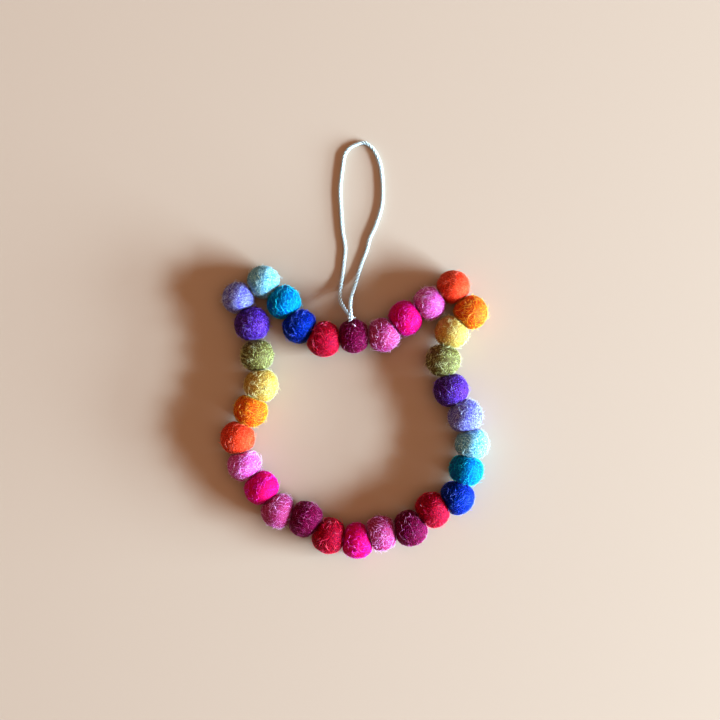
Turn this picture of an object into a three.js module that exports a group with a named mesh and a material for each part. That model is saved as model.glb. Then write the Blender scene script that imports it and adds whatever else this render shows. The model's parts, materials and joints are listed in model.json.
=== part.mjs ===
import * as THREE from 'three';

// Wreath of felted wool balls strung in the outline of a cat's head, lying face up on a table,
// with a hanging loop of twisted cotton string knotted to its top ball.
// Millimetres, +Z up. The origin is on the table, below the middle of the wreath.

// Felt balls
const ballDetail = 3; // subdivisions of each ball's faces
const clearance = 0.3; // between pieces that touch
const restDepth = 0.35; // how far a ball is flattened where it rests on the table
const shoulder = 0.7; // rounding between a ball's round side and a pressed face
const unevenness = 0.014; // of a hand-rolled ball, as a part of its radius
const rollWaves = [
  { x: 2.3, y: 1.9, z: 0, shift: 2.1 },
  { x: 0, y: 2.7, z: -2.2, shift: 1.3 },
  { x: 2.4, y: 0, z: 3.1, shift: 0.7 },
]; // waves per radius along each axis, and how far they shift from one ball to the next
const feltRoughness = 0.95;

// Cotton string
const stringRadius = 0.85;
const looseRadius = 0.55; // where a cut end or a stitch is thinner
const plyCount = 3;
const pointsPerPly = 3;
const plyValley = 0.8; // radius between two plies, as a part of the string's radius
const lay = 5.4; // length in which the plies make one turn
const stepsPerTurn = 8;
const curvePointsPerPlace = 20; // for measuring along a route
const cottonRoughness = 0.9;

// Knot of the string, on the shoulder of the top ball
const knotCentre = new THREE.Vector3(-1.35, 41.0, 12.3);
const knotSize = new THREE.Vector3(1.25, 1.1, 1.55); // half-widths
const knotDetail = 3;
const knotWraps = 6; // how close the ridges of the wound string lie
const knotSlant = 1.05; // how far the ridges lie askew
const knotGroove = 0.13; // depth of the grooves between them, as a part of the radius

const felt = {
  plum: 0x5a1038,
  red: 0xb80d24,
  royalBlue: 0x1430b4,
  teal: 0x0a78b4,
  aqua: 0x8fc6cc,
  lavender: 0x8a82d8,
  purple: 0x4a2ab0,
  olive: 0x8f8a48,
  yellow: 0xd8b040,
  orange: 0xe07818,
  vermilion: 0xd8301a,
  orchid: 0xb850b0,
  hotPink: 0xd0107a,
  pinkMarl: 0xb04898,
};
const cotton = 0xe8efee;

// The balls in their order round the wreath. x and y place the centre, size is the diameter, and
// bulge is how far the ball swells into the next one: below 0, the next one swells into it.
const balls = [
  { felt: 'plum', x: -0.5, y: 33.4, size: 15.1, bulge: -0.3 },
  { felt: 'red', x: -13.6, y: 32.1, size: 16.0, bulge: -0.4 },
  { felt: 'royalBlue', x: -24.2, y: 37.8, size: 15.5, bulge: 0 },
  { felt: 'teal', x: -31.2, y: 48.3, size: 15.3, bulge: 0 },
  { felt: 'aqua', x: -40.2, y: 57.2, size: 14.8, bulge: 0 },
  { felt: 'lavender', x: -51.1, y: 50.2, size: 14.6, bulge: -0.8 },
  { felt: 'purple', x: -45.2, y: 38.8, size: 15.8, bulge: 0 },
  { felt: 'olive', x: -43.0, y: 25.0, size: 15.0, bulge: 0.4 },
  { felt: 'yellow', x: -41.2, y: 11.8, size: 15.5, bulge: 0.7 },
  { felt: 'orange', x: -45.9, y: 0.7, size: 15.3, bulge: 0.6 },
  { felt: 'vermilion', x: -51.5, y: -11.5, size: 15.5, bulge: 0.6 },
  { felt: 'orchid', x: -48.6, y: -23.2, size: 15.1, bulge: 0 },
  { felt: 'hotPink', x: -41.0, y: -33.4, size: 15.5, bulge: 0.3 },
  { felt: 'pinkMarl', x: -33.6, y: -43.3, size: 15.7, bulge: 0.4 },
  { felt: 'plum', x: -21.8, y: -47.1, size: 16.2, bulge: 0 },
  { felt: 'red', x: -11.2, y: -54.4, size: 16.2, bulge: 0.3 },
  { felt: 'hotPink', x: 1.1, y: -56.5, size: 16.1, bulge: 0 },
  { felt: 'pinkMarl', x: 11.5, y: -53.3, size: 15.8, bulge: 0.2 },
  { felt: 'plum', x: 24.3, y: -51.0, size: 16.2, bulge: 0 },
  { felt: 'red', x: 34.3, y: -43.0, size: 16.1, bulge: 0 },
  { felt: 'royalBlue', x: 45.0, y: -37.5, size: 15.8, bulge: 0.3 },
  { felt: 'teal', x: 49.1, y: -25.4, size: 15.5, bulge: 0 },
  { felt: 'aqua', x: 51.6, y: -14.0, size: 15.4, bulge: -0.3 },
  { felt: 'lavender', x: 48.7, y: -1.8, size: 15.8, bulge: 0 },
  { felt: 'purple', x: 42.4, y: 9.7, size: 15.7, bulge: -0.2 },
  { felt: 'olive', x: 39.0, y: 22.8, size: 15.6, bulge: -0.7 },
  { felt: 'yellow', x: 42.7, y: 35.2, size: 15.1, bulge: 0 },
  { felt: 'orange', x: 50.9, y: 43.9, size: 15.5, bulge: 0 },
  { felt: 'vermilion', x: 43.4, y: 55.0, size: 15.0, bulge: 0 },
  { felt: 'orchid', x: 32.9, y: 47.8, size: 15.0, bulge: 0 },
  { felt: 'hotPink', x: 22.3, y: 41.3, size: 15.6, bulge: 0 },
  { felt: 'pinkMarl', x: 12.6, y: 34.0, size: 15.3, bulge: 0 },
];

// Centre line of the hanging loop: up the left run from the knot, round the top and back.
const onTable = stringRadius + 0.05;
const loopRoute = [
  [-2.1, 42.25, 11.25],
  [-3.4, 43.9, 9.7],
  [-4.95, 46.2, 7.5],
  [-6.1, 48.7, 5.4],
  [-6.6, 51.5, 3.7],
  [-6.3, 54.9, 2.3],
  [-5.7, 58.9, 1.35],
  [-5.1, 63.2, onTable],
  [-4.6, 67.9, onTable],
  [-4.2, 72.1, onTable],
  [-4.6, 75.9, onTable],
  [-5.4, 80.3, onTable],
  [-5.8, 85.7, onTable],
  [-6.2, 91.9, onTable],
  [-6.5, 97.3, onTable],
  [-6.1, 103.5, onTable],
  [-5.3, 109.3, onTable],
  [-4.5, 114.0, onTable],
  [-2.4, 117.2, onTable],
  [0.3, 118.8, onTable],
  [3.6, 119.7, onTable],
  [6.4, 118.5, onTable],
  [8.8, 116.0, onTable],
  [10.5, 112.5, onTable],
  [11.7, 108.2, onTable],
  [12.3, 102.8, onTable],
  [12.5, 97.3, onTable],
  [12.1, 91.9, onTable],
  [10.8, 86.8, onTable],
  [8.9, 81.7, onTable],
  [6.8, 77.2, onTable],
  [5.4, 71.9, onTable],
  [3.5, 67.0, onTable],
  [1.6, 61.2, 1.2],
  [0.1, 55.8, 2.6],
  [-1.4, 51.0, 5.2],
  [-1.9, 46.7, 10.1],
  [-1.6, 42.95, 12.95],
];
const tailRoute = [
  [0.15, 41.35, 12.7],
  [0.55, 41.6, 12.85],
  [0.95, 41.7, 12.85],
];
const stitchRoute = [
  [-0.95, 38.6, 13.75],
  [-0.35, 38.35, 13.95],
  [0.25, 38.0, 14.15],
];

function ballRadius(ball) {
  return ball.size / 2;
}

function ballCentre(ball) {
  return new THREE.Vector3(ball.x, ball.y, ballRadius(ball) - restDepth);
}

// The face that a ball presses against a neighbour, seen from the ball's own centre. Both spheres
// cut each other in a circle: the face lies in that circle's plane, and swells by bulge at its middle.
function pressedFace(ball, neighbour, bulge) {
  const toNeighbour = ballCentre(neighbour).sub(ballCentre(ball));
  const distance = toNeighbour.length();
  const radius = ballRadius(ball);
  const offset = (distance ** 2 + radius ** 2 - ballRadius(neighbour) ** 2) / (2 * distance);
  return {
    axis: toNeighbour.divideScalar(distance),
    offset: offset - clearance / 2,
    reach: Math.sqrt(radius ** 2 - offset ** 2),
    bulge,
  };
}

// The lower of two values, rounded over where they are close.
function smoothLower(a, b, width) {
  const overlap = Math.max(width - Math.abs(a - b), 0) / width;
  return Math.min(a, b) - (overlap ** 2 * width) / 4;
}

function pressPoint(point, face) {
  const along = point.dot(face.axis);
  const aside = point.clone().addScaledVector(face.axis, -along).length();
  const swell = face.bulge * Math.max(0, 1 - (aside / face.reach) ** 2);
  const pressed = smoothLower(along, face.offset + swell, shoulder);
  point.addScaledVector(face.axis, pressed - along);
}

// Slow waves over a hand-rolled ball, different on each, that fade towards the place it rests on.
function rolledUnevenly(direction, index) {
  const heights = rollWaves.map((wave) => Math.sin(direction.dot(wave) + wave.shift * index));
  const meanHeight = heights.reduce((sum, height) => sum + height, 0) / heights.length;
  const awayFromTable = Math.min(1, direction.z + 1);
  return 1 + unevenness * awayFromTable * meanHeight;
}

// A geodesic sphere with one corner straight below its centre, so that it rests on a flat of its own.
function geodesicSphere(detail) {
  const sphere = new THREE.IcosahedronGeometry(1, detail);
  const corner = new THREE.Vector3().fromBufferAttribute(sphere.attributes.position, 0).normalize();
  const down = new THREE.Vector3(0, 0, -1);
  sphere.applyQuaternion(new THREE.Quaternion().setFromUnitVectors(corner, down));
  return sphere;
}

function reshape(geometry, movePoint) {
  const positions = geometry.attributes.position;
  const point = new THREE.Vector3();
  for (let i = 0; i < positions.count; i += 1) {
    point.fromBufferAttribute(positions, i);
    movePoint(point);
    positions.setXYZ(i, point.x, point.y, point.z);
  }
  geometry.computeVertexNormals();
  return geometry;
}

function feltBall(index) {
  const ball = balls[index];
  const next = balls[(index + 1) % balls.length];
  const before = balls[(index + balls.length - 1) % balls.length];
  const faces = [pressedFace(ball, next, ball.bulge), pressedFace(ball, before, -before.bulge)];
  const centre = ballCentre(ball);
  return reshape(geodesicSphere(ballDetail), (point) => {
    point.multiplyScalar(ballRadius(ball) * rolledUnevenly(point, index));
    faces.forEach((face) => pressPoint(point, face));
    point.add(centre);
    point.z = Math.max(point.z, 0);
  });
}

// Cross-section of the string: a lobe for each ply.
function stringSection(outerRadius) {
  const points = [];
  const count = plyCount * pointsPerPly;
  for (let i = 0; i < count; i += 1) {
    const angle = (2 * Math.PI * i) / count;
    const radius = i % pointsPerPly === 0 ? outerRadius : outerRadius * plyValley;
    points.push(new THREE.Vector2(radius * Math.cos(angle), radius * Math.sin(angle)));
  }
  return new THREE.Shape(points);
}

// A straight length of string, bent along its route and twisted by its lay.
function twistedString(route, outerRadius) {
  const curve = new THREE.CatmullRomCurve3(route.map((place) => new THREE.Vector3(...place)));
  curve.arcLengthDivisions = curvePointsPerPlace * route.length;
  const length = curve.getLength();
  const steps = Math.max(2, Math.round((length / lay) * stepsPerTurn));
  const frames = curve.computeFrenetFrames(steps, false);
  const centres = frames.tangents.map((_, step) => curve.getPointAt(step / steps));
  const section = stringSection(outerRadius);
  const straight = new THREE.ExtrudeGeometry(section, { depth: length, steps, bevelEnabled: false });
  return reshape(straight, (point) => {
    const step = Math.round((point.z / length) * steps);
    const turn = (2 * Math.PI * step) / stepsPerTurn;
    const across = point.x * Math.cos(turn) - point.y * Math.sin(turn);
    const up = point.x * Math.sin(turn) + point.y * Math.cos(turn);
    point.copy(centres[step]);
    point.addScaledVector(frames.normals[step], across);
    point.addScaledVector(frames.binormals[step], up);
  });
}

// The string wound round itself: ridges that lie askew over a small egg shape.
function stringKnot() {
  return reshape(geodesicSphere(knotDetail), (point) => {
    const round = Math.atan2(point.z, point.x);
    const ridge = Math.cos(knotWraps * point.y + knotSlant * Math.sin(2 * round));
    point.multiplyScalar(1 - (knotGroove * (1 - ridge)) / 2);
    point.multiply(knotSize).add(knotCentre);
  });
}

function piece(name, geometry, color, roughness) {
  const mesh = new THREE.Mesh(geometry, new THREE.MeshStandardMaterial({ color, roughness, metalness: 0 }));
  mesh.name = name;
  return mesh;
}

const wreath = new THREE.Group();
balls.forEach((ball, index) => {
  const name = `ball_${String(index + 1).padStart(2, '0')}`;
  wreath.add(piece(name, feltBall(index), felt[ball.felt], feltRoughness));
});
const outline = new THREE.Box3().setFromObject(wreath);

wreath.add(piece('hanging_loop', twistedString(loopRoute, stringRadius), cotton, cottonRoughness));
wreath.add(piece('loop_knot', stringKnot(), cotton, cottonRoughness));
wreath.add(piece('loop_tail', twistedString(tailRoute, looseRadius), cotton, cottonRoughness));
wreath.add(piece('loop_stitch', twistedString(stitchRoute, looseRadius), cotton, cottonRoughness));

// The middle of the balls' outline stands over the origin.
const middle = outline.getCenter(new THREE.Vector3());
wreath.position.set(-middle.x, -middle.y, 0);

export default wreath;
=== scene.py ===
# Felted wool balls strung in a cat's head outline, with a hanging loop of twisted cotton string.
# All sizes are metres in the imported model's frame, and mm is one millimetre.
import json
import math

import bmesh
import bpy
import numpy as np
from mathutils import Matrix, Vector, noise
from mathutils.bvhtree import BVHTree
from mathutils.kdtree import KDTree


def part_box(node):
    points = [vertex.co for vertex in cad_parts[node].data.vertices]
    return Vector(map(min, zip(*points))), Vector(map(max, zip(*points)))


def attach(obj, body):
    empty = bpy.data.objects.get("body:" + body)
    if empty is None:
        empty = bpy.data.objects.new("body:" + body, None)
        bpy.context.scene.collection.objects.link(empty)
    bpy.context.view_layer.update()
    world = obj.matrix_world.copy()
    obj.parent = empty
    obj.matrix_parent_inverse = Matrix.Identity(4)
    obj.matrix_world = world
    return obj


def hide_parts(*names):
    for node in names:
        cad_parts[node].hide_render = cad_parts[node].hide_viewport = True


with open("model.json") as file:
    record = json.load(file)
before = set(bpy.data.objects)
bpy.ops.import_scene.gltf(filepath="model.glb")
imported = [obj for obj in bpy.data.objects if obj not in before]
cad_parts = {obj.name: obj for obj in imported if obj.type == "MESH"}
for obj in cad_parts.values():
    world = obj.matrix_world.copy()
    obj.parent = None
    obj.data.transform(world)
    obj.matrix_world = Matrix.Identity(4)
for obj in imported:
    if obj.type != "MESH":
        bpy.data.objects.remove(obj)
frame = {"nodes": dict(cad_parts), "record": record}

mm = 0.001
# How far each kind of surface stays above the table, so that nothing dips through it
tableGap = {"string": 0.02 * mm, "fuzz": 0.05 * mm, "felt": 0.05 * mm, "strands": 0.06 * mm}
scene = bpy.context.scene
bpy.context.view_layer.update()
cadNodes = frame["nodes"]
print("frame loaded with", len(cadNodes), "nodes")


# Camera: straight above the table, as the picture was taken
cameraView = {
    "height": 600 * mm,
    "over": (2.354 * mm, 22.855 * mm),
    "shownWidth": 316.8 * mm,  # what the picture shows across, at the height of the balls' middles
    "ballMiddle": 7.75 * mm,
    "sensor": 36,
}
cameraData = bpy.data.cameras.new("camera")
cameraData.sensor_width = cameraView["sensor"]
reachDown = cameraView["height"] - cameraView["ballMiddle"]
cameraData.lens = cameraView["sensor"] * reachDown / cameraView["shownWidth"]
camera = bpy.data.objects.new("camera", cameraData)
camera.location = (*cameraView["over"], cameraView["height"])
scene.collection.objects.link(camera)
scene.camera = camera
print("camera set, lens", round(cameraData.lens, 1))


def unit(vectors):
    return vectors / np.maximum(np.linalg.norm(vectors, axis=-1, keepdims=True), 1e-12)


def smoothLine(points, perSpan):
    # A centripetal curve through the points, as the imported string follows
    knots = np.array(points, float)
    knots = np.vstack([2 * knots[0] - knots[1], knots, 2 * knots[-1] - knots[-2]])
    share = np.linspace(0, 1, perSpan, endpoint=False)[:, None]
    spans = []
    for before, start, end, after in zip(knots, knots[1:], knots[2:], knots[3:]):
        gapA = np.linalg.norm(start - before) ** 0.5
        gapB = np.linalg.norm(end - start) ** 0.5
        gapC = np.linalg.norm(after - end) ** 0.5
        leave = ((start - before) / gapA - (end - before) / (gapA + gapB) + (end - start) / gapB) * gapB
        arrive = ((end - start) / gapB - (after - start) / (gapB + gapC) + (after - end) / gapC) * gapB
        bend = 3 * (end - start) - 2 * leave - arrive
        twist = 2 * (start - end) + leave + arrive
        spans.append(start + leave * share + bend * share**2 + twist * share**3)
    spans.append(knots[-2:-1])
    return np.vstack(spans)


def lineLength(line):
    return np.linalg.norm(np.diff(line, axis=0), axis=1).sum()


def evenLine(line, step):
    # The same line with its points evenly spaced
    run = np.concatenate([[0], np.cumsum(np.linalg.norm(np.diff(line, axis=0), axis=1))])
    places = np.linspace(0, run[-1], round(run[-1] / step) + 1)
    return np.stack([np.interp(places, run, line[:, axis]) for axis in range(3)], axis=1)


def showMesh(name, shape, material, replaced):
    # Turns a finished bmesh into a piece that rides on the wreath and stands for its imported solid
    data = bpy.data.meshes.new(name)
    shape.to_mesh(data)
    shape.free()
    data.polygons.foreach_set("use_smooth", [True] * len(data.polygons))
    data.materials.append(material)
    piece = bpy.data.objects.new(name, data)
    scene.collection.objects.link(piece)
    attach(piece, "root")
    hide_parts(replaced)
    return piece


strandFlatness = 0.7  # a strand's height as a share of its width


def addStrands(shape, lines, radius, tones, outward):
    # Adds one thin three-sided tube along each line, tapered to a point at both ends.
    # lines holds strands x points x 3, and outward tells each point which way is up.
    count, points, _ = lines.shape
    along = unit(np.gradient(lines, axis=1))
    side = unit(np.cross(along, outward))
    up = np.cross(side, along)
    share = np.linspace(0, 1, points)[1:-1]
    thickness = radius[:, None, None] * (np.sin(math.pi * share) ** 0.5)[None, :, None]
    inner = slice(1, points - 1)
    rings = []
    for angle in (90, 210, 330):
        turn = math.radians(angle)
        shift = math.cos(turn) * side[:, inner] + strandFlatness * math.sin(turn) * up[:, inner]
        rings.append(lines[:, inner] + thickness * shift)
    rings = np.stack(rings, axis=2).reshape(count, -1, 3)
    vertices = np.concatenate([lines[:, :1], rings, lines[:, -1:]], axis=1)
    vertices[:, :, 2] = np.maximum(vertices[:, :, 2], 0)
    perStrand = vertices.shape[1]
    faces = []
    for corner in range(3):
        following = (corner + 1) % 3
        faces.append((0, 1 + following, 1 + corner))
        last = perStrand - 4
        faces.append((perStrand - 1, last + corner, last + following))
        for ring in range(points - 3):
            low = 1 + 3 * ring
            faces.append((low + corner, low + following, low + 3 + following, low + 3 + corner))
    toneLayer = shape.verts.layers.float["tone"]
    for strand in range(count):
        made = [shape.verts.new(place) for place in vertices[strand]]
        for vertex in made:
            vertex[toneLayer] = tones[strand]
        for face in faces:
            shape.faces.new([made[index] for index in face])


# Felted wool and cotton: one shader node group, placed in each material with its own colours
woolLook = {
    "mottleScale": 3100,
    "reliefScale": 2600,
    "reliefDepth": 0.3 * mm,
    "roughness": 0.65,
    "gloss": 0.6,
    "sheenRoughness": 0.5,
    "scatterDepth": 2.0 * mm,  # how far light spreads in the fibres
    # Painted sheen: the pale tone that loose hairs are whitened towards
    "hairSheenTone": 0.9,  # what a colour's loose hairs fade to
}


def newGroup(name, inputs, outputs):
    group = bpy.data.node_groups.new(name, "ShaderNodeTree")
    for label, kind, value in inputs:
        socket = group.interface.new_socket(name=label, in_out="INPUT", socket_type=kind)
        socket.default_value = value
    for label, kind in outputs:
        group.interface.new_socket(name=label, in_out="OUTPUT", socket_type=kind)
    return group


def addNode(tree, kind, links=None, **settings):
    node = tree.nodes.new(kind)
    for key, value in settings.items():
        setattr(node, key, value)
    for socket, source in (links or {}).items():
        if hasattr(source, "is_linked"):
            tree.links.new(source, node.inputs[socket])
        else:
            node.inputs[socket].default_value = source
    return node


def buildWoolTones():
    # Colour of matted wool: each strand's own tone, broken up by fine mottling
    group = newGroup(
        "woolTones",
        [
            ("Deep", "NodeSocketColor", (0.2, 0.2, 0.2, 1)),
            ("Body", "NodeSocketColor", (0.5, 0.5, 0.5, 1)),
            ("Light", "NodeSocketColor", (0.8, 0.8, 0.8, 1)),
            ("HairSheen", "NodeSocketColor", (0.9, 0.9, 0.9, 1)),
            ("Mottling", "NodeSocketFloat", 0.5),
            ("Mottle Scale", "NodeSocketFloat", woolLook["mottleScale"]),
        ],
        [("Color", "NodeSocketColor"), ("Relief", "NodeSocketFloat")],
    )
    given = group.nodes.new("NodeGroupInput")
    result = group.nodes.new("NodeGroupOutput")
    place = addNode(group, "ShaderNodeTexCoord")
    tone = addNode(group, "ShaderNodeAttribute", attribute_name="tone")
    mottle = addNode(
        group, "ShaderNodeTexNoise",
        {"Vector": place.outputs["Object"], "Scale": given.outputs["Mottle Scale"], "Detail": 1.0},
    )
    centred = addNode(group, "ShaderNodeMath", {0: mottle.outputs["Fac"], 1: 0.5}, operation="SUBTRACT")
    shift = addNode(
        group, "ShaderNodeMath", {0: centred.outputs[0], 1: given.outputs["Mottling"]}, operation="MULTIPLY"
    )
    shade = addNode(group, "ShaderNodeMath", {0: tone.outputs["Fac"], 1: shift.outputs[0]}, operation="ADD")
    # The tone runs from Deep at 0, painted shade between strands, through the other colours to the hair
    # colour at 1.4, a painted sheen on the loose hairs
    colour = given.outputs["Deep"]
    for start, end, following in ((0.0, 0.5, "Body"), (0.5, 1.0, "Light"), (1.0, 1.4, "HairSheen")):
        share = addNode(
            group, "ShaderNodeMapRange", {"Value": shade.outputs[0], "From Min": start, "From Max": end}
        )
        blend = addNode(group, "ShaderNodeMix", data_type="RGBA")
        group.links.new(share.outputs["Result"], blend.inputs[0])
        group.links.new(colour, blend.inputs[6])
        group.links.new(given.outputs[following], blend.inputs[7])
        colour = blend.outputs[2]
    group.links.new(colour, result.inputs["Color"])
    fine = addNode(
        group, "ShaderNodeTexNoise",
        {"Vector": place.outputs["Object"], "Scale": woolLook["reliefScale"], "Detail": 5.0},
    )
    group.links.new(fine.outputs["Fac"], result.inputs["Relief"])
    return group


woolTones = buildWoolTones()


def woolMaterial(name, deep, body, light, mottling, glow, hairSheen=0.3, sheen=0.0, soft=0):
    # deep, body and light are the wool's tones, deep being painted shade in the hollows, glow tints its
    # gloss, the hair sheen setting whitens its loose hairs as a painted sheen, and soft is how much light
    # spreads in it
    look = woolLook
    material = bpy.data.materials.new(name)
    material.use_nodes = True
    tree = material.node_tree
    shader = tree.nodes["Principled BSDF"]
    tones = addNode(tree, "ShaderNodeGroup", node_tree=woolTones)
    # Painted sheen: the loose hairs' colour, the light tone whitened
    hairSheenColour = [(1 - hairSheen) * value + look["hairSheenTone"] * hairSheen for value in light]
    for socket, colour in (("Deep", deep), ("Body", body), ("Light", light), ("HairSheen", hairSheenColour)):
        tones.inputs[socket].default_value = (*colour, 1)
    tones.inputs["Mottling"].default_value = mottling
    bump = addNode(
        tree, "ShaderNodeBump",
        {"Height": tones.outputs["Relief"], "Strength": 1.0, "Distance": look["reliefDepth"]},
    )
    tree.links.new(tones.outputs["Color"], shader.inputs["Base Color"])
    tree.links.new(bump.outputs["Normal"], shader.inputs["Normal"])
    finish = {
        "Roughness": look["roughness"],
        "Specular IOR Level": look["gloss"],
        "Specular Tint": (*glow, 1),
        "Sheen Weight": sheen,
        "Sheen Roughness": look["sheenRoughness"],
        "Sheen Tint": (*glow, 1),
        "Subsurface Weight": soft,
        "Subsurface Radius": (1, 1, 1),
        "Subsurface Scale": look["scatterDepth"],
    }
    for socket, value in finish.items():
        shader.inputs[socket].default_value = value
    return material


# Hanging loop: three plies of cotton twisted together, lying on the table
onTable = 0.9
stringLook = {
    "radius": 0.85 * mm,
    "plies": 3,
    "lay": 5.4 * mm,  # one full turn of a ply
    "step": 0.3 * mm,
    "cleft": 0.75,  # how deep the groove between two plies is, as a share of the radius
    "around": 12,  # points across each ply
    # Painted shade: each ply's tone is dark in the grooves between plies and rises to crownTone on its crown
    "crownTone": 0.85,
    "groove": (0.45, 0.4),  # share of the radius where a ply is darkest, and over which it brightens
    "patches": (0.5 * mm, 0.3),  # width and strength of its uneven tone
    "swells": [(0.35 * mm, 1.0), (1.7 * mm, 0.6)],  # width and share of each kind of swelling
    "swelling": 0.05 * mm,
    # Loose fibres: rootedAt is a share of the radius, and wrap is how far they wind round, in radians
    "fuzz": {"count": 420, "points": 7, "reach": 4 * mm, "lift": 0.7 * mm, "radius": 0.022 * mm,
             "rootedAt": 0.8, "wrap": 1.4},
    "pieceStep": 0.12 * mm,  # step of the short pieces at the knot
    "seed": 7,
}
loopRoute = [
    (-2.1, 42.25, 11.25), (-3.4, 43.9, 9.7), (-4.95, 46.2, 7.5), (-6.1, 48.7, 5.4), (-6.6, 51.5, 3.7),
    (-6.3, 54.9, 2.3), (-5.7, 58.9, 1.35), (-5.1, 63.2, onTable), (-4.6, 67.9, onTable),
    (-4.2, 72.1, onTable), (-4.6, 75.9, onTable), (-5.4, 80.3, onTable), (-5.8, 85.7, onTable),
    (-6.2, 91.9, onTable), (-6.5, 97.3, onTable), (-6.1, 103.5, onTable), (-5.3, 109.3, onTable),
    (-4.5, 114.0, onTable), (-2.4, 117.2, onTable), (0.3, 118.8, onTable), (3.6, 119.7, onTable),
    (6.4, 118.5, onTable), (8.8, 116.0, onTable), (10.5, 112.5, onTable), (11.7, 108.2, onTable),
    (12.3, 102.8, onTable), (12.5, 97.3, onTable), (12.1, 91.9, onTable), (10.8, 86.8, onTable),
    (8.9, 81.7, onTable), (6.8, 77.2, onTable), (5.4, 71.9, onTable), (3.5, 67.0, onTable),
    (1.6, 61.2, 1.2), (0.1, 55.8, 2.6), (-1.4, 51.0, 5.2), (-1.9, 46.7, 10.1), (-1.6, 42.95, 12.95),
]
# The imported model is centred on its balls, which moves the route by this much
routeShift = np.array([0.0, -0.065, 0.0])


def plyOutline(look, scale):
    # Closed outline of the twisted plies, one rounded lobe for each
    data = bpy.data.curves.new("plyOutline", "CURVE")
    total = look["plies"] * look["around"]
    spline = data.splines.new("POLY")
    spline.points.add(total - 1)
    spline.use_cyclic_u = True
    for index in range(total):
        angle = 2 * math.pi * index / total
        across = abs(math.cos(look["plies"] * angle / 2))
        reach = look["radius"] * scale * (1 - look["cleft"] * (1 - across**0.55))
        spline.points[index].co = (reach * math.cos(angle), reach * math.sin(angle), 0, 1)
    return bpy.data.objects.new("plyOutline", data)


def twistedString(line, look, scale=1.0):
    # Sweeps the ply outline along the line, turns it once every lay, and paints shade into the grooves
    # between plies
    step = np.linalg.norm(line[1] - line[0])
    data = bpy.data.curves.new("string", "CURVE")
    data.dimensions = "3D"
    data.bevel_mode = "OBJECT"
    outline = plyOutline(look, scale)
    scene.collection.objects.link(outline)
    data.bevel_object = outline
    data.use_fill_caps = True
    spline = data.splines.new("POLY")
    spline.points.add(len(line) - 1)
    for index, place in enumerate(line):
        spline.points[index].co = (*place, 1)
        spline.points[index].tilt = 2 * math.pi * index * step / look["lay"]
    holder = bpy.data.objects.new("string", data)
    scene.collection.objects.link(holder)
    bpy.context.view_layer.update()
    swept = bpy.data.meshes.new_from_object(holder.evaluated_get(bpy.context.evaluated_depsgraph_get()))
    bpy.data.objects.remove(holder)
    bpy.data.objects.remove(outline)
    shape = bmesh.new()
    shape.from_mesh(swept)
    bmesh.ops.remove_doubles(shape, verts=shape.verts, dist=0.001 * mm)
    bmesh.ops.recalc_face_normals(shape, faces=shape.faces)
    tone = shape.verts.layers.float.new("tone")
    core = KDTree(len(line))
    for index, place in enumerate(line):
        core.insert(place, index)
    core.balance()
    thick = look["radius"] * scale
    darkest, fade = look["groove"]
    width, strength = look["patches"]
    # Painted shade: the tone is darkest deep in the grooves between plies
    for vertex in shape.verts:
        depth = core.find(vertex.co)[2] / thick
        crown = look["crownTone"] * min(1, max(0, (depth - darkest) / fade))
        vertex[tone] = crown + strength * noise.noise(vertex.co / width)
    bpy.data.meshes.remove(swept)
    return shape


def roughenString(shape, amount):
    # Uneven spinning: the yarn swells and thins a little
    for vertex in shape.verts:
        swell = sum(share * noise.noise(vertex.co / width) for width, share in stringLook["swells"])
        vertex.co += vertex.normal * swell * amount
        vertex.co.z = max(vertex.co.z, tableGap["string"])


def stringFuzz(shape, line, rng, look):
    # Loose cotton fibres that lean away from the string
    fuzz = look["fuzz"]
    count, points = fuzz["count"], fuzz["points"]
    start = rng.integers(0, len(line) - 2, count)
    share = np.linspace(0, 1, points)
    step = np.linalg.norm(line[1] - line[0])
    direction = rng.choice([-1, 1], count)
    reachOut = rng.uniform(0.3, 1.0, count) * fuzz["reach"] / step
    indices = start[:, None] + direction[:, None] * reachOut[:, None] * share[None, :]
    indices = np.clip(indices, 0, len(line) - 1)
    base = np.stack([np.interp(indices, np.arange(len(line)), line[:, axis]) for axis in range(3)], axis=2)
    tangent = unit(np.gradient(line, axis=0))[start]
    across = unit(np.cross(tangent, rng.normal(size=(count, 3))))
    other = np.cross(tangent, across)
    wrap = rng.normal(0, fuzz["wrap"], count)[:, None] * share[None, :]
    ray = np.cos(wrap)[:, :, None] * across[:, None, :] + np.sin(wrap)[:, :, None] * other[:, None, :]
    rise = (share[None, :] ** 1.5) * rng.uniform(0.1, 1.0, count)[:, None] * fuzz["lift"]
    distance = look["radius"] * fuzz["rootedAt"] + rise
    lines = base + ray * distance[:, :, None]
    lines[:, :, 2] = np.maximum(lines[:, :, 2], tableGap["fuzz"])
    addStrands(shape, lines, np.full(count, fuzz["radius"]), rng.uniform(0.7, 1.0, count), ray)


cottonLook = {
    # deep is the painted shade colour in the grooves between plies
    "deep": (0.09, 0.13, 0.15), "body": (0.36, 0.46, 0.48), "light": (0.5, 0.62, 0.64),
    "glow": (0.1, 0.1, 0.1), "mottling": 0.3, "sheen": 0.1, "soft": 1.0,
}
# The same cotton where it comes up through the plum ball's loose wool
stitchLook = {
    # deep is the painted shade colour in the stitch's grooves
    "deep": (0.18, 0.08, 0.11), "body": (0.36, 0.22, 0.27), "light": (0.52, 0.38, 0.44),
    "glow": (0.1, 0.1, 0.1), "mottling": 0.25, "sheen": 0.1, "soft": 0.5,
}
cottonMaterial = woolMaterial("cotton", **cottonLook)
stitchMaterial = woolMaterial("cotton_under_fuzz", **stitchLook)


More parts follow.
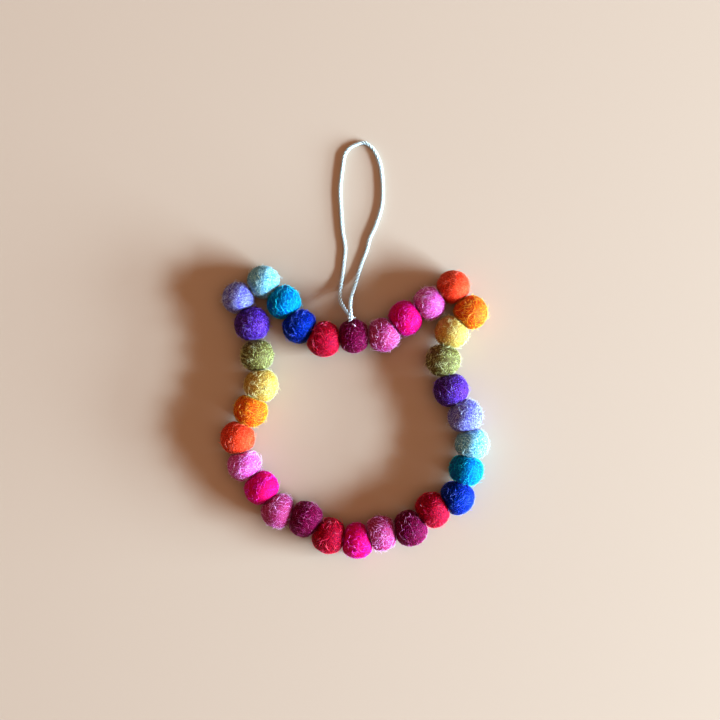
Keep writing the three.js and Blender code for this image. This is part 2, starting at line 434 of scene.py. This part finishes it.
def makeHangingLoop():
    rng = np.random.default_rng(stringLook["seed"])
    line = evenLine((smoothLine(loopRoute, 20) + routeShift) * mm, stringLook["step"])
    shape = twistedString(line, stringLook)
    roughenString(shape, stringLook["swelling"])
    stringFuzz(shape, line, rng, stringLook)
    piece = showMesh("hanging_string", shape, cottonMaterial, "hanging_loop")
    return piece, line


hangingLoop, loopLine = makeHangingLoop()
print("hanging loop:", round(lineLength(loopLine) / mm, 1), "mm of string,",
      len(hangingLoop.data.polygons), "faces")


# Knot: the string's two ends are tied together on the shoulder of the plum ball. Places, lay and
# roughness are in millimetres, here and in shortEnds, and a strand is a share of the loop's thickness.
knotLook = {
    "centre": (-1.75, 41.35, 12.4),
    "room": (0.85, 0.85, 1.0),  # how far the middle of the string strays from the centre
    "strand": 0.66,
    "leg": [(-1.9, 40.9, 12.4), (-2.3, 40.3, 12.0), (-2.5, 39.8, 10.6)],
    "legStrand": 0.45,
    "lay": 3.2,
    "rough": 0.03,
    "legRough": 0.02,
}


def stringPiece(route, scale, lay, rough):
    line = evenLine((np.array(route) + routeShift) * mm, stringLook["pieceStep"])
    shape = twistedString(line, dict(stringLook, lay=lay * mm), scale)
    roughenString(shape, rough * mm)
    return shape


def makeKnot():
    # An overhand knot pulled tight, and the leg that goes back into the felt
    look = knotLook
    turns = np.linspace(0, 2 * math.pi, 160)
    crossing = np.stack([
        np.sin(turns) + 2 * np.sin(2 * turns),
        np.cos(turns) - 2 * np.cos(2 * turns),
        -1.6 * np.sin(3 * turns),
    ], axis=1)
    crossing /= np.abs(crossing).max(axis=0)
    route = crossing * look["room"] + np.array(look["centre"])
    shape = stringPiece(route, look["strand"], look["lay"], look["rough"])
    leg = stringPiece(smoothLine(look["leg"], 12), look["legStrand"], look["lay"], look["legRough"])
    spare = bpy.data.meshes.new("leg")
    leg.to_mesh(spare)
    leg.free()
    shape.from_mesh(spare)
    bpy.data.meshes.remove(spare)
    return showMesh("knot", shape, cottonMaterial, "loop_knot")


knot = makeKnot()


# The cut end beside the knot, and the stitch that comes up through the plum ball
shortEnds = {
    "lay": 3.6,
    "rough": 0.04,
    "tailStrand": 0.34,
    "tailRoute": [(-0.6, 41.25, 12.8), (0.0, 41.45, 12.85), (0.4, 41.55, 12.8)],
    "stitchStrand": 0.4,
    "stitchRoute": [(-0.95, 38.75, 13.3), (-0.55, 38.45, 13.9), (0.05, 37.95, 14.1), (0.3, 37.6, 13.6)],
}


def makeShortEnd(name, kind, material, replaced):
    look = shortEnds
    route = smoothLine(look[kind + "Route"], 12)
    shape = stringPiece(route, look[kind + "Strand"], look["lay"], look["rough"])
    return showMesh(name, shape, material, replaced)


tail = makeShortEnd("cut_end", "tail", cottonMaterial, "loop_tail")
makeShortEnd("stitch", "stitch", stitchMaterial, "loop_stitch")
print("knot, cut end and stitch made")


# Felt balls
ballLook = {
    "detail": 5,
    "seed": 100,
    "swirl": 1.6,  # how tightly the wool swirls round a ball
    "settle": 9,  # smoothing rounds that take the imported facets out
    "lumps": [(3.2 * mm, 0.07 * mm), (1.1 * mm, 0.06 * mm)],  # width and height of each kind
    # Painted shade: the felt between the strands takes a low tone, mostly the deep colour
    "ground": {"tone": 0.14, "spread": 0.22, "width": 0.8 * mm},  # felt that shows between the strands
    "soft": 0.4,  # how much light spreads in the wool
    "rooted": 0.05 * mm,  # how deep a strand's ends are in the felt
    # A bed of locks, bright dashes on it, single hairs, and loose hairs that stand off the ball.
    # Lengths are in millimetres, and stray is how far a strand heads off the swirl, in radians.
    "locks": {"count": 700, "points": 4, "length": (0.7, 1.9), "radius": (0.07, 0.13), "lift": (0.02, 0.16),
              "tone": 0.42, "spread": 0.13, "stray": 0.45, "curl": 0.6},
    "dashes": {"count": 760, "points": 4, "length": (0.5, 1.5), "radius": (0.065, 0.1), "lift": (0.1, 0.22),
               "tone": 0.68, "spread": 0.2, "stray": 0.35, "curl": 0.6},
    "hairs": {"count": 110, "points": 6, "length": (2.5, 6.0), "radius": (0.04, 0.065), "lift": (0.16, 0.34),
              "tone": 0.95, "spread": 0.2, "stray": 0.5, "curl": 1.3},
    # Tones above 1 take the whitened hair colour, a painted sheen
    "loose": {"count": 120, "points": 6, "length": (1.5, 5.0), "radius": (0.055, 0.085), "lift": (0.3, 1.8),
              "tone": 1.35, "spread": 0.15, "stray": 0.8, "curl": 1.4},
}
# Each slot's wool. The tone runs from deep, a painted shade in the hollows between strands, to light on the
# dashes, glow tints the gloss, mottling breaks the tone up, and the hair sheen setting is how far the loose
# hairs go towards white, a painted sheen.
feltColours = {
    "felt_plum": {
        "deep": (0.04, 0.0001, 0.0004), "body": (0.16, 0.0003, 0.027), "light": (0.44, 0.01, 0.19),
        "glow": (0.5, 0.02, 0.35), "mottling": 2.6, "hairSheen": 0.2,
    },
    "felt_red": {
        "deep": (0.09, 0.0001, 0.0002), "body": (0.39, 0.0001, 0.0015), "light": (0.98, 0.003, 0.045),
        "glow": (1.0, 0.08, 0.5), "mottling": 2.1, "hairSheen": 0.05,
    },
    "felt_royal_blue": {
        "deep": (0.0002, 0.0002, 0.035), "body": (0.0003, 0.0003, 0.29), "light": (0.002, 0.055, 0.98),
        "glow": (0.0, 0.4, 1.0), "mottling": 2.8, "hairSheen": 0.12,
    },
    "felt_teal": {
        "deep": (0.0008, 0.034, 0.2), "body": (0.0008, 0.21, 0.56), "light": (0.0008, 0.78, 0.96),
        "glow": (0.0, 1.0, 0.8), "mottling": 0.5, "hairSheen": 0.02,
    },
    "felt_aqua": {
        "deep": (0.05, 0.2, 0.4), "body": (0.12, 0.35, 0.38), "light": (0.48, 0.86, 0.82),
        "glow": (0.2, 0.5, 0.5), "mottling": 6.0, "hairSheen": 0.5,
    },
    "felt_lavender": {
        "deep": (0.04, 0.014, 0.32), "body": (0.125, 0.115, 0.52), "light": (0.58, 0.7, 0.95),
        "glow": (0.75, 1.0, 0.7), "mottling": 4.6, "hairSheen": 0.33,
    },
    "felt_purple": {
        "deep": (0.002, 0.0001, 0.025), "body": (0.0045, 0.0001, 0.1), "light": (0.14, 0.025, 0.87),
        "glow": (1.0, 0.3, 1.0), "mottling": 5.0, "hairSheen": 0.26,
    },
    "felt_olive": {
        "deep": (0.048, 0.024, 0.0005), "body": (0.07, 0.065, 0.001), "light": (0.78, 0.88, 0.3),
        "glow": (1.0, 1.0, 0.6), "mottling": 3.2, "hairSheen": 0.3,
    },
    "felt_yellow": {
        "deep": (0.27, 0.11, 0.0008), "body": (0.56, 0.42, 0.045), "light": (0.96, 0.94, 0.36),
        "glow": (0.5, 0.9, 0.9), "mottling": 2.3, "hairSheen": 0.1,
    },
    "felt_orange": {
        "deep": (0.38, 0.006, 0.0002), "body": (0.68, 0.085, 0.0002), "light": (0.97, 0.62, 0.004),
        "glow": (0.5, 1.0, 0.25), "mottling": 3.0, "hairSheen": 0.08,
    },
    "felt_vermilion": {
        "deep": (0.33, 0.0002, 0.0001), "body": (0.66, 0.0004, 0.0001), "light": (0.97, 0.09, 0.02),
        "glow": (0.5, 0.9, 0.3), "mottling": 5.6, "hairSheen": 0.1,
    },
    "felt_orchid": {
        "deep": (0.33, 0.0008, 0.08), "body": (0.61, 0.05, 0.57), "light": (0.97, 0.58, 0.98),
        "glow": (0.4, 1.0, 0.8), "mottling": 3.0, "hairSheen": 0.26,
    },
    "felt_hot_pink": {
        "deep": (0.4, 0.0001, 0.04), "body": (0.56, 0.0001, 0.065), "light": (0.86, 0.002, 0.62),
        "glow": (0.3, 0.08, 0.9), "mottling": 2.3, "hairSheen": 0.05,
    },
    "felt_pink_marl": {
        "deep": (0.25, 0.0003, 0.035), "body": (0.36, 0.002, 0.165), "light": (0.97, 0.37, 0.94),
        "glow": (0.7, 0.8, 1.0), "mottling": 2.6, "hairSheen": 0.36,
    },
}
feltMaterials = {
    slot: woolMaterial(slot, soft=ballLook["soft"], **tones) for slot, tones in feltColours.items()
}


def ballBody(solid, look, seed):
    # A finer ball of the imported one's shape, with its flats, and soft lumps of felt
    data = solid.data
    skin = BVHTree.FromPolygons([v.co for v in data.vertices], [tuple(p.vertices) for p in data.polygons])
    low, high = (Vector(corner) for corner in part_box(solid.name))
    centre = (low + high) / 2
    shape = bmesh.new()
    bmesh.ops.create_icosphere(shape, subdivisions=look["detail"], radius=1)
    for vertex in shape.verts:
        ray = vertex.co.normalized()
        vertex.co = centre + ray * skin.ray_cast(centre, ray)[3]
    for _ in range(look["settle"]):
        bmesh.ops.smooth_vert(
            shape, verts=shape.verts, factor=0.5, use_axis_x=True, use_axis_y=True, use_axis_z=True
        )
    offset = Vector((seed * 0.37, seed * 1.91, seed * 0.73))
    ground = look["ground"]
    tone = shape.verts.layers.float.new("tone")
    for vertex in shape.verts:
        ray = (vertex.co - centre).normalized()
        rise = 0.0
        for width, height in look["lumps"]:
            rise += height * noise.noise(vertex.co / width + offset)
        vertex.co += ray * rise
        vertex.co.z = max(vertex.co.z, tableGap["felt"])
        # Painted shade: the felt between the strands gets the dark deep tone
        vertex[tone] = ground["tone"] + ground["spread"] * noise.noise(vertex.co / ground["width"] + offset)
    return shape, np.array(centre)


def walkOverBall(rng, wool, angles, swirl):
    # Directions of strands that follow one swirl round the ball, each a little astray
    count, points = wool["count"], wool["points"]
    waves, phase = swirl
    at = unit(rng.normal(size=(count, 3)))
    heading = rng.normal(0, wool["stray"], count)
    curl = rng.normal(0, wool["curl"], count) / (points - 1)
    stride = (angles / (points - 1))[:, None]
    places = [at]
    for _ in range(points - 1):
        along = unit(np.cross(at, np.sin(at @ waves + phase)))
        side = np.cross(at, along)
        way = np.cos(heading)[:, None] * along + np.sin(heading)[:, None] * side
        at = unit(at + way * stride)
        heading = heading + curl
        places.append(at)
    return np.stack(places, axis=1)


def layOnBall(skin, centre, rays, lift):
    # The points where the rays leave the ball, lifted off its felt
    middle = Vector(centre)
    reach = np.array([skin.ray_cast(middle, Vector(ray))[3] for ray in rays.reshape(-1, 3)])
    lines = centre + rays * (reach.reshape(rays.shape[:2]) + lift)[:, :, None]
    lines[:, :, 2] = np.maximum(lines[:, :, 2], tableGap["strands"])
    return lines


def makeBall(number, slot):
    look = ballLook
    node = f"ball_{number:02d}"
    rng = np.random.default_rng(look["seed"] + number)
    body, centre = ballBody(cadNodes[node], look, number)
    skin = BVHTree.FromBMesh(body)
    swirl = (rng.normal(0, look["swirl"], (3, 3)), rng.uniform(0, 6, 3))
    laid = []
    for kind in ("locks", "dashes", "hairs", "loose"):
        wool = look[kind]
        count = wool["count"]
        share = np.linspace(0, 1, wool["points"])
        rise = share**1.5 if kind == "loose" else np.sin(math.pi * share)
        lengths = rng.uniform(*wool["length"], count) * mm
        rays = walkOverBall(rng, wool, lengths / centre[2], swirl)
        lift = rng.uniform(*wool["lift"], count)[:, None] * rise[None, :] * mm - look["rooted"]
        lines = layOnBall(skin, centre, rays, lift)
        thickness = rng.uniform(*wool["radius"], count) * mm
        tones = np.clip(rng.normal(wool["tone"], wool["spread"], count), 0.0, 1.5)
        laid.append((lines, thickness, tones, rays))
    for strands in laid:
        addStrands(body, *strands)
    return showMesh(f"felt_{node}", body, feltMaterials[slot], node)


slotOfNode = {part["node"]: part["material_slot"] for part in frame["record"]["subparts"]}
for number in range(1, 33):
    makeBall(number, slotOfNode[f"ball_{number:02d}"])
print("32 felt balls made")


# Table top and light
stageLook = {
    "floorSize": 3.0,
    "floorColour": (0.378, 0.316, 0.25),
    "floorRoughness": 0.9,
    "floorGloss": 0.15,
    "windowDistance": 3.0,
    "windowHeading": -15,  # degrees from the right, towards the bottom of the picture
    "windowHeight": 22,  # degrees above the table
    "windowSize": (1.7, 0.42),
    "windowPower": 228,
    "sillHeight": 9,  # the window's lower part, which lights the sides of the balls
    "sillSize": (2.0, 0.6),
    "sillPower": 250,
    "windowColour": (0.95, 1.28, 1.58),
    "ceilingAt": (0.35, 0.1, 2.1),
    "ceilingSize": (2.2, 2.2),
    "ceilingPower": 26,
    "ceilingColour": (1.0, 0.6, 0.4),
    "roomColour": (1.0, 0.575, 0.37),
    "roomStrength": 0.45,
    "gamma": 0.82,  # the picture's contrast
}


def addPanel(name, place, size, power, colour):
    # A soft light that faces the wreath
    light = bpy.data.lights.new(name, "AREA")
    light.shape = "RECTANGLE"
    light.size, light.size_y = size
    light.energy = power
    light.color = colour
    holder = bpy.data.objects.new(name, light)
    holder.location = place
    holder.rotation_euler = place.to_track_quat("Z", "Y").to_euler()
    holder.visible_camera = False
    scene.collection.objects.link(holder)


def makeStage():
    look = stageLook
    shape = bmesh.new()
    bmesh.ops.create_grid(shape, x_segments=1, y_segments=1, size=look["floorSize"] / 2)
    data = bpy.data.meshes.new("table")
    shape.to_mesh(data)
    shape.free()
    material = bpy.data.materials.new("table")
    material.use_nodes = True
    shader = material.node_tree.nodes["Principled BSDF"]
    shader.inputs["Base Color"].default_value = (*look["floorColour"], 1)
    shader.inputs["Roughness"].default_value = look["floorRoughness"]
    shader.inputs["Specular IOR Level"].default_value = look["floorGloss"]
    data.materials.append(material)
    table = bpy.data.objects.new("table", data)
    scene.collection.objects.link(table)

    heading = math.radians(look["windowHeading"])
    for name in ("window", "sill"):
        height = math.radians(look[name + "Height"])
        towards = Vector((
            math.cos(heading) * math.cos(height), math.sin(heading) * math.cos(height), math.sin(height)
        ))
        place = towards * look["windowDistance"]
        addPanel(name, place, look[name + "Size"], look[name + "Power"], look["windowColour"])
    place = Vector(look["ceilingAt"])
    addPanel("ceiling", place, look["ceilingSize"], look["ceilingPower"], look["ceilingColour"])

    world = bpy.data.worlds.new("room")
    world.use_nodes = True
    background = world.node_tree.nodes["Background"]
    background.inputs["Color"].default_value = (*look["roomColour"], 1)
    background.inputs["Strength"].default_value = look["roomStrength"]
    scene.world = world


makeStage()
scene.view_settings.view_transform = "Standard"
scene.view_settings.gamma = stageLook["gamma"]
print("table and light set")
